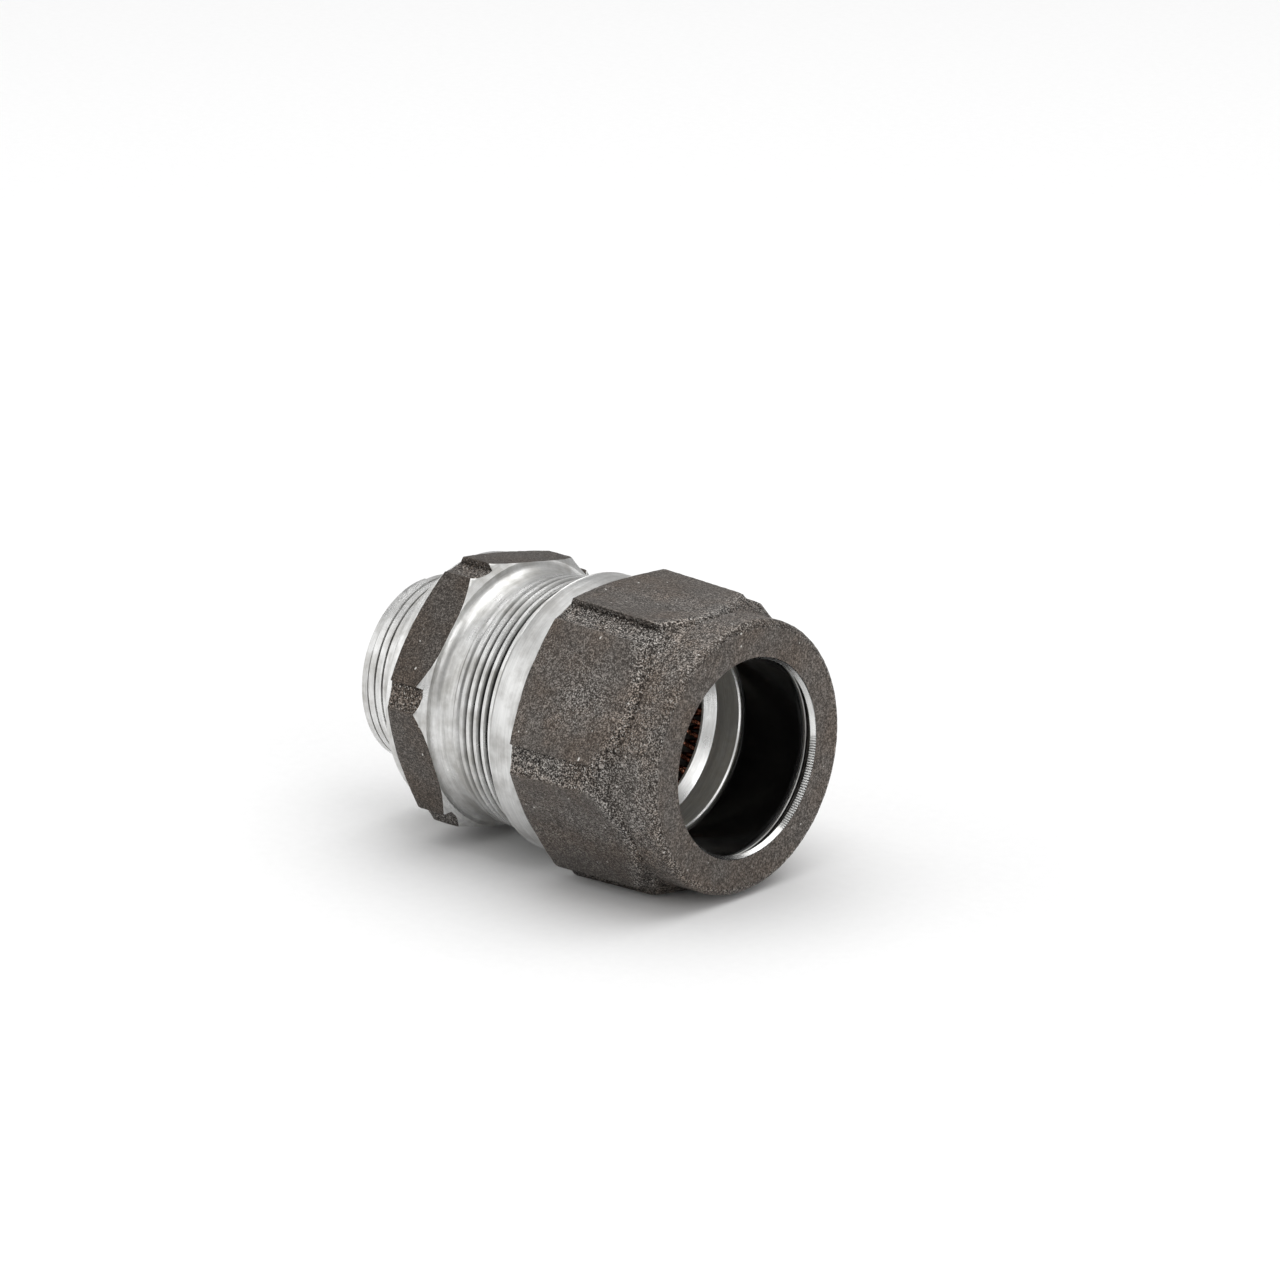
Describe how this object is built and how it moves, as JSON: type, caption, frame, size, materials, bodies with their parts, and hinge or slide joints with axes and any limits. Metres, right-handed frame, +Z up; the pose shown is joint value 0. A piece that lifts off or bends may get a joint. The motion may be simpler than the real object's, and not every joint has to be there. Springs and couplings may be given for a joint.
{
  "type": "cable gland fitting",
  "caption": "Metal gland fitting for armoured cable: tapered hub thread, hexagon body, threaded gland nut over a rubber seal, gland ring and grounding spring.",
  "frame": {"origin": "on the axis, in the plane of the shoulder that bears on the enclosure wall", "axes": "+X along the axis from the hub to the cable mouth, +Z up with the fitting lying on its side"},
  "size_m": [0.093, 0.067, 0.0612],
  "materials": {
    "machined_aluminium": "turned, satin, with fine tool lines",
    "cast_aluminium": "dark shot-blasted casting skin with a coarse glinting grain",
    "washer_metal": "satin",
    "black_rubber": "glossy moulded rubber",
    "ring_metal": "satin bore with a bright turned chamfer",
    "spring_copper": "copper-coloured wire, darkened between the coils",
    "stop_plastic": "moulded"
  },
  "bodies": {
    "connector": {"fitting_body": "machined_aluminium", "end_stop": "stop_plastic"},
    "ring_group": {"gland_ring": "ring_metal", "grounding_spring": "spring_copper"},
    "nut_carriage": {"slip_washer": "washer_metal", "sealing_bushing": "black_rubber"},
    "nut": {"gland_nut": "cast_aluminium"}
  },
  "joints": [
    {"name": "nut_travel", "type": "slide", "parent": "connector", "child": "nut_carriage", "axis": [-1, 0, 0], "range_m": [-0.006, 0.006], "deforming": ["sealing_bushing"]},
    {"name": "nut_turn", "type": "hinge", "parent": "nut_carriage", "child": "nut", "pos_m": [0.03205, 0, 0], "axis": [-1, 0, 0], "range_deg": [-1020, 1020]},
    {"name": "ring_travel", "type": "slide", "parent": "connector", "child": "ring_group", "axis": [-1, 0, 0], "range_m": [-0.002, 0.002], "deforming": ["grounding_spring"]}
  ],
  "couplings": [
    {"joint": "nut_travel", "follows": "nut_turn", "m_per_rad": 0.00033693},
    {"joint": "ring_travel", "follows": "nut_turn", "m_per_rad": 0.00011231}
  ]
}
